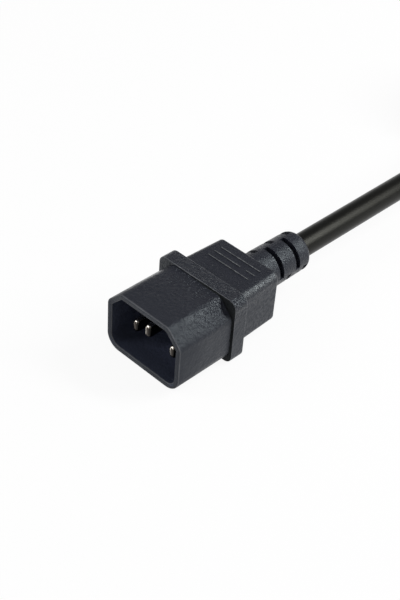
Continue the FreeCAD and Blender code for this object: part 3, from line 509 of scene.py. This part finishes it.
def core_plastic(name, tones, striped=False):
    """Extruded insulation, plain or in two long stripes."""
    nodes = new_material(name)
    if striped:
        wave = nodes.math("SINE", nodes.math("MULTIPLY", nodes.axis("X"), STRIPE_RATE))
        tone = nodes.blend(nodes.math("GREATER_THAN", wave, 0.0), *tones)
    else:
        tone = nodes.mottled(3 * MM, tones)
    return nodes.surface(tone, nodes.varied(1.1 * MM, 0.35, 0.5))


def woven_strap():
    """Black hook-and-loop webbing: fine ribs across the strap and a fuzzy pile."""
    nodes = new_material("woven_strap")
    ribs = nodes.math("SINE", nodes.math("MULTIPLY", nodes.axis("Y"), 2 * math.pi / (0.9 * MM)))
    pile = nodes.noise(0.45 * MM, detail=4.0, roughness=0.7)
    height = nodes.math("ADD", nodes.math("MULTIPLY", ribs, 0.35), pile)
    tone = nodes.blend(nodes.spread(pile, 0.35, 0.65), *STRAP)
    normal = nodes.bump(height, 0.12 * MM, strength=0.8)
    return nodes.surface(
        tone, 0.85, normal, Specular_IOR_Level=0.2, Sheen_Weight=0.12, Sheen_Roughness=0.5)


# Pieces

def dress(name, material):
    node = frame["nodes"][name]
    node.data.materials.clear()
    node.data.materials.append(material)


def dress_nodes():
    """Gives every node of the frame its material."""
    grip = grip_plastic()
    metal = nickel()
    wire = copper()
    dress("shroud_flange", shroud_plastic())
    dress("grip_overmould", grip)
    dress("connector_overmould", grip)
    # The pin carrier's lighter tone is painted fill light for the shaded cavity
    dress("pin_carrier", dull_plastic("carrier_painted_fill", CARRIER_PAINTED_FILL, 0.6))
    dress("connector_insert", dull_plastic("connector_face", CONNECTOR_FACE, 0.42))
    colours = (
        core_plastic("core_brown", CORE_BROWN),
        core_plastic("core_blue", CORE_BLUE),
        core_plastic("core_green_yellow", CORE_GREEN_YELLOW, striped=True),
    )
    for name, colour in zip(POLES, colours):
        dress(f"pin_{name}", metal)
        dress(f"contact_{name}", metal)
        for prefix in ("", "connector_"):
            dress(f"{prefix}core_{name}", colour)
            dress(f"{prefix}conductor_{name}", wire)


def cord_curve(name, points, material):
    """A round cord on one smooth line."""
    curve = bpy.data.curves.new(name, "CURVE")
    curve.dimensions = "3D"
    curve.bevel_depth = CORD_DIAMETER / 2
    curve.bevel_resolution = 8
    curve.use_fill_caps = True
    spline = curve.splines.new("NURBS")
    spline.points.add(len(points) - 1)
    for control, point in zip(spline.points, points):
        control.co = (*point, 1.0)
    spline.use_endpoint_u = True
    spline.order_u = 3
    spline.resolution_u = 8
    curve.materials.append(material)
    thing = bpy.data.objects.new(name, curve)
    bpy.context.collection.objects.link(thing)
    return thing


def arc_controls(centre, radius, start, sweep, steps):
    """Control points of a round stretch: one in the middle of each step, pushed out so that the
    smooth line keeps the radius. Angles are in degrees."""
    step = math.radians(sweep / steps)
    reach = radius / math.cos(step / 2)
    angles = [math.radians(start) + step * (index + 0.5) for index in range(steps)]
    return [(centre[0] + reach * math.cos(a), centre[1] + reach * math.sin(a)) for a in angles]


def hank_controls():
    """The put-away turns, seen from the hank's own middle: up the left of the waist, round the
    far fold, down the right of the waist and round the near fold, twice, rising as they go."""
    fold_y = HANK_HALF - FOLD_RADIUS
    bulge = FOLD_RADIUS - WAIST_HALF
    waist_radius = (fold_y ** 2 + WAIST_HALF ** 2 - FOLD_RADIUS ** 2) / (2 * bulge)
    waist_x = waist_radius + WAIST_HALF
    turn = math.degrees(math.atan2(fold_y, waist_x))
    fold_sweep = 180.0 + 2 * turn
    fold_steps = len(NEAR_FOLD_RISE)

    def waist_side(side, first, last, steps):
        """A stretch of the waist, left (-1) or right (1), by angle from its narrowest place."""
        start = first if side < 0 else 180.0 + first
        return arc_controls((side * waist_x, 0.0), waist_radius, start, last - first, steps)

    def lift(y, level):
        """Height on a level, raised over the strap that runs under the waist."""
        over = min(1.0, max(0.0, (STRAP_REACH - abs(y)) / STRAP_CLIMB))
        return CORD_FLOOR_Z + level * TURN_PITCH + over * TIE_THICK

    points = [(-WAIST_HALF, y, CORD_FLOOR_Z) for y in RUN_IN_FLOOR]
    points += [(-WAIST_HALF, y, lift(0, 0)) for y in RUN_IN_STRAP]
    for level in range(2):
        if level == 0:
            left = waist_side(-1, 0.0, turn, WAIST_STEPS // 2)
        else:
            left = waist_side(-1, -turn, turn, WAIST_STEPS)
        points += [(x, y, lift(y, level)) for x, y in left]
        far = arc_controls((0.0, fold_y), FOLD_RADIUS, 180.0 + turn, -fold_sweep, fold_steps)
        points += [(x, y, CORD_FLOOR_Z + level * TURN_PITCH) for x, y in far]
        right = waist_side(1, -turn, turn, WAIST_STEPS)
        points += [(x, y, lift(y, level)) for x, y in right]
        near = arc_controls((0.0, -fold_y), FOLD_RADIUS, turn, -fold_sweep, fold_steps)
        for (x, y), rise in zip(near, NEAR_FOLD_RISE):
            points.append((x, y, CORD_FLOOR_Z + (level + rise) * TURN_PITCH))
    left = waist_side(-1, -turn, -turn / 4, len(TAIL_CLIMB))
    points += [(x, y, z) for (x, y), z in zip(left, TAIL_CLIMB)]
    points += [(-WAIST_HALF, y, z) for y, z in TAIL_OVER_STRAP]
    return [Vector(point) for point in points]


def cord_route():
    """The cord's control points, from inside the plug's strain relief to the far connector."""
    entry_x = HANK_X - WAIST_HALF
    lead = [(0.0, JACKET_LEAD_IN - RELIEF_LENGTH, PLUG_AXIS_Z)]
    lead += [(0.0, along, PLUG_AXIS_Z) for along in LEAD_STRAIGHT]
    lead += [(entry_x, LEAD_TOUCHDOWN, CORD_FLOOR_Z)]
    route = [Vector((x, EXIT_Y + along, z)) for x, along, z in lead]
    hank = Vector((HANK_X, EXIT_Y + HANK_OFFSET, 0.0))
    route += [hank + point for point in hank_controls()]
    route += [Vector((entry_x, TAIL_END_Y - back, TAIL_Z)) for back in (TAIL_STRAIGHT, 0.0)]
    return route


def free_cord():
    cord = cord_curve("cord", cord_route(), cord_jacket())
    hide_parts("cord_lead", "cord_hank", "cord_tail")
    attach(cord, "root")
    return cord


def add_strip(mesh, stations, middle_y, width, closed):
    """A strip of webbing across Y, through pairs of inner and outer points in the XZ plane."""
    rings = []
    for inner, outer in stations:
        ring = []
        for spot, side in ((outer, -0.5), (outer, 0.5), (inner, 0.5), (inner, -0.5)):
            ring.append(mesh.verts.new((spot.x, middle_y + side * width, spot.z)))
        rings.append(ring)
    for ring, other in zip(rings, rings[1:] + (rings[:1] if closed else [])):
        for index in range(4):
            beside = (index + 1) % 4
            mesh.faces.new((ring[index], ring[beside], other[beside], other[index]))
    if not closed:
        mesh.faces.new(rings[0])
        mesh.faces.new(rings[-1])


def strap_outline(low, high, middle):
    """The middles of the strap's rounded corners, each with the directions of its rounding, from
    the right over the top to the left and back under the hank."""
    side = (high[0] - low[0]) / 2 - TIE_CORNER
    right, left = middle.x + side, middle.x - side
    top, bottom = high[2] - TIE_CORNER, low[2] + TIE_CORNER
    outline = []
    for quarter, (x, z) in enumerate(((right, top), (left, top), (left, bottom), (right, bottom))):
        for index in range(TIE_CORNER_STEPS + 1):
            angle = math.radians(90.0 * quarter + 90.0 / TIE_CORNER_STEPS * index)
            outline.append((Vector((x, 0, z)), Vector((math.cos(angle), 0, math.sin(angle)))))
    return outline


def strap():
    """The hook-and-loop strap round the hank's waist, its free end pressed on its own back."""
    low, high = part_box("cord_tie")
    middle = (Vector(low) + Vector(high)) / 2
    outline = strap_outline(low, high, middle)
    inner = TIE_CORNER - TIE_THICK
    band = [(spot + out * inner, spot + out * TIE_CORNER) for spot, out in outline]

    over_top = outline[:2 * (TIE_CORNER_STEPS + 1)]
    last_spot, last_out = over_top[-1]
    over_top.append((last_spot - Vector((0, 0, FREE_END_DROP)), last_out))
    flap = []
    for index, (spot, out) in enumerate(over_top):
        rise = min(1.0, index / TIE_CORNER_STEPS) * FREE_END_THICK
        flap.append((spot + out * (TIE_CORNER - TIE_THICK / 3), spot + out * (TIE_CORNER + rise)))

    mesh = bmesh.new()
    add_strip(mesh, band, middle.y, TIE_WIDTH, closed=True)
    add_strip(mesh, flap, middle.y, TIE_WIDTH - 2 * FREE_END_INSET, closed=False)
    bmesh.ops.recalc_face_normals(mesh, faces=mesh.faces)
    data = bpy.data.meshes.new("strap")
    mesh.to_mesh(data)
    mesh.free()
    thing = bpy.data.objects.new("strap", data)
    bpy.context.collection.objects.link(thing)
    data.materials.append(woven_strap())
    bevel = thing.modifiers.new("soft edge", "BEVEL")
    bevel.width = TIE_EDGE
    bevel.segments = 3
    bevel.limit_method = "ANGLE"
    bevel.angle_limit = math.radians(TIE_EDGE_ANGLE)
    for face in data.polygons:
        face.use_smooth = True
    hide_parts("cord_tie")
    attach(thing, "root")


# Stage

def floor():
    """A white floor. The camera sees mostly its glow, so that only soft shadows stay on it, and
    gloss and glass see it as plain white."""
    bpy.ops.mesh.primitive_plane_add(size=FLOOR_SIZE, location=(0, 0, 0))
    plane = bpy.context.object
    plane.name = "floor"
    nodes = new_material("floor_white")
    lit = nodes.add("ShaderNodeBsdfDiffuse")
    lit.inputs["Color"].default_value = FLOOR_TONE
    glow = nodes.add("ShaderNodeEmission")
    glow.inputs["Color"].default_value = WHITE
    ray = nodes.add("ShaderNodeLightPath").outputs
    from_camera = nodes.math("MULTIPLY", ray["Is Camera Ray"], FLOOR_GLOW)
    seen = nodes.math("MAXIMUM", from_camera, ray["Is Glossy Ray"], ray["Is Transmission Ray"])
    mix = nodes.add("ShaderNodeMixShader")
    for socket, source in zip(mix.inputs, (seen, lit.outputs[0], glow.outputs[0])):
        nodes.link(source, socket)
    plane.data.materials.append(nodes.finish(mix, "ShaderNodeOutputMaterial"))


def world():
    """Soft even light from all round. The camera sees it as white. Gloss and glass see white walls
    just above the floor, and higher up the dim light itself."""
    studio = bpy.data.worlds.new("studio")
    bpy.context.scene.world = studio
    nodes = Nodes(studio)
    height = nodes.part(nodes.add("ShaderNodeTexCoord").outputs["Generated"], "Z")
    wall = nodes.spread(height, WALL_FULL_TO, WALL_GONE_AT, 1.0, 0.0)
    ray = nodes.add("ShaderNodeLightPath").outputs
    mirrored = nodes.math("MAXIMUM", ray["Is Glossy Ray"], ray["Is Transmission Ray"])
    mirrored = nodes.math("MULTIPLY", mirrored, wall)
    seen = nodes.math("MAXIMUM", ray["Is Camera Ray"], mirrored)
    back = nodes.add("ShaderNodeBackground")
    back.inputs["Color"].default_value = WHITE
    nodes.link(nodes.spread(seen, 0.0, 1.0, WORLD_LEVEL, 1.0), back.inputs["Strength"])
    nodes.finish(back, "ShaderNodeOutputWorld")


def turn_to(thing, right, up, back):
    """Turns a light or camera by the directions of its own axes."""
    thing.rotation_mode = "QUATERNION"
    thing.rotation_quaternion = Matrix((right, up, back)).transposed().to_quaternion()


def softbox(name, direction, width, height, power):
    """A rectangular light that faces the plug, its width across the cord's direction."""
    back = Vector(direction).normalized()
    across = Vector((0, 1, 0)).cross(back).normalized()
    light = bpy.data.lights.new(name, "AREA")
    light.shape = "RECTANGLE"
    light.size = width
    light.size_y = height
    light.energy = power
    lamp = bpy.data.objects.new(name, light)
    lamp.location = Vector((0, 0, PLUG_AXIS_Z)) + back * LAMP_DISTANCE
    turn_to(lamp, across, back.cross(across), back)
    bpy.context.collection.objects.link(lamp)


def camera():
    azimuth = math.radians(VIEW_AZIMUTH)
    elevation = math.radians(VIEW_ELEVATION)
    roll = math.radians(VIEW_ROLL)
    back = Vector((
        math.sin(azimuth) * math.cos(elevation),
        -math.cos(azimuth) * math.cos(elevation),
        math.sin(elevation)))
    level_right = Vector((0, 0, 1)).cross(back).normalized()
    level_up = back.cross(level_right)
    right = level_right * math.cos(roll) + level_up * math.sin(roll)
    up = level_up * math.cos(roll) - level_right * math.sin(roll)
    pixel = MM / VIEW_SCALE
    aside = (IMAGE_SIZE[0] / 2 - PLUG_PIXEL[0]) * pixel
    above = (PLUG_PIXEL[1] - IMAGE_SIZE[1] / 2) * pixel
    centre = Vector((0, 0, SHROUD_AXIS_Z))
    data = bpy.data.cameras.new("camera")
    data.sensor_width = SENSOR
    data.lens = SENSOR * VIEW_SCALE / MM * VIEW_DISTANCE / IMAGE_SIZE[1]
    data.clip_start = 0.01
    lens = bpy.data.objects.new("camera", data)
    bpy.context.collection.objects.link(lens)
    lens.location = centre + back * VIEW_DISTANCE + right * aside + up * above
    turn_to(lens, right, up, back)
    bpy.context.scene.camera = lens


dress_nodes()
cord = free_cord()
strap()
far_pieces = ["strap", "connector_insert", "connector_overmould"]
for name in POLES:
    far_pieces += [f"contact_{name}", f"connector_core_{name}", f"connector_conductor_{name}"]

camera()
floor()
world()
for lamp in LAMPS:
    softbox(*lamp)

bpy.context.scene.view_settings.view_transform = "Standard"
